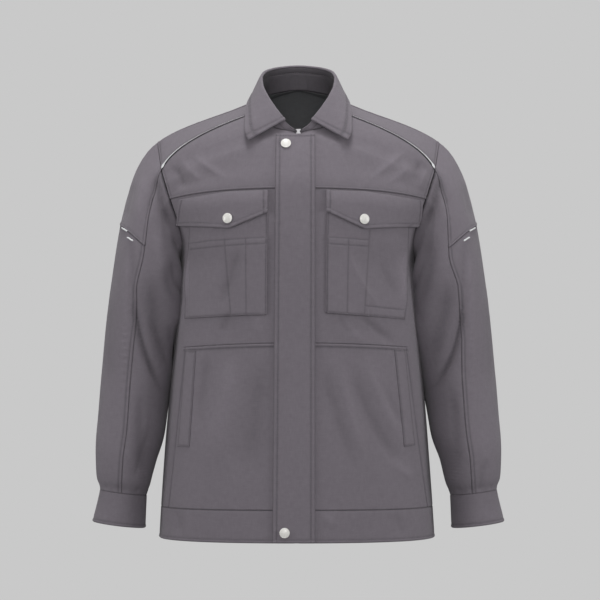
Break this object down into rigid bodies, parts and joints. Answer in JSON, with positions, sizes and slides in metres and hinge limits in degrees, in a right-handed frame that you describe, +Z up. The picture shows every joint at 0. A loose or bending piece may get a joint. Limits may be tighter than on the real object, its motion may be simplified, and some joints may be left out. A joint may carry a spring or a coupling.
{
  "type": "work jacket",
  "caption": "Hollow work jacket filled out as worn: shirt collar, placket over a closed zip, two flapped chest pockets, side welts, cuffs, hem band and reflective piping.",
  "frame": {"origin": "middle of the neck opening, level with the inner ends of the shoulder ridges, where the wearer's neck carries the jacket", "axes": "+Z up, the front faces -Y, and the wearer's left arm is on +X"},
  "size_m": [0.656, 0.2829, 0.7581],
  "materials": {
    "cloth": "woven, matt",
    "zip_tape": "woven, matt",
    "reflective_piping": "satin, retroreflective",
    "snap_cap": "satin"
  },
  "bodies": {
    "root": {"back": "cloth", "hem_band_back": "cloth", "collar_stand": "cloth", "collar_leaf": "cloth", "placket": "cloth", "yoke_left": "cloth", "chest_front_left": "cloth", "middle_front_left": "cloth", "lower_front_left": "cloth", "hem_band_left": "cloth", "sleeve_cap_left": "cloth", "sleeve_outer_left": "cloth", "sleeve_under_left": "cloth", "cuff_left": "cloth", "chest_pocket_left": "cloth", "flap_left": "cloth", "welt_left": "cloth", "yoke_right": "cloth", "chest_front_right": "cloth", "middle_front_right": "cloth", "lower_front_right": "cloth", "hem_band_right": "cloth", "sleeve_cap_right": "cloth", "sleeve_outer_right": "cloth", "sleeve_under_right": "cloth", "cuff_right": "cloth", "chest_pocket_right": "cloth", "flap_right": "cloth", "welt_right": "cloth", "yoke_piping_left": "reflective_piping", "sleeve_piping_left": "reflective_piping", "sleeve_dash_left": "reflective_piping", "yoke_piping_right": "reflective_piping", "sleeve_piping_right": "reflective_piping", "sleeve_dash_right": "reflective_piping", "snap_placket_top": "snap_cap", "snap_placket_hem": "snap_cap", "snap_flap_left": "snap_cap", "snap_flap_right": "snap_cap", "zip_tape_left": "zip_tape", "zip_tape_right": "zip_tape", "zip_slider": "snap_cap"}
  },
  "joints": []
}
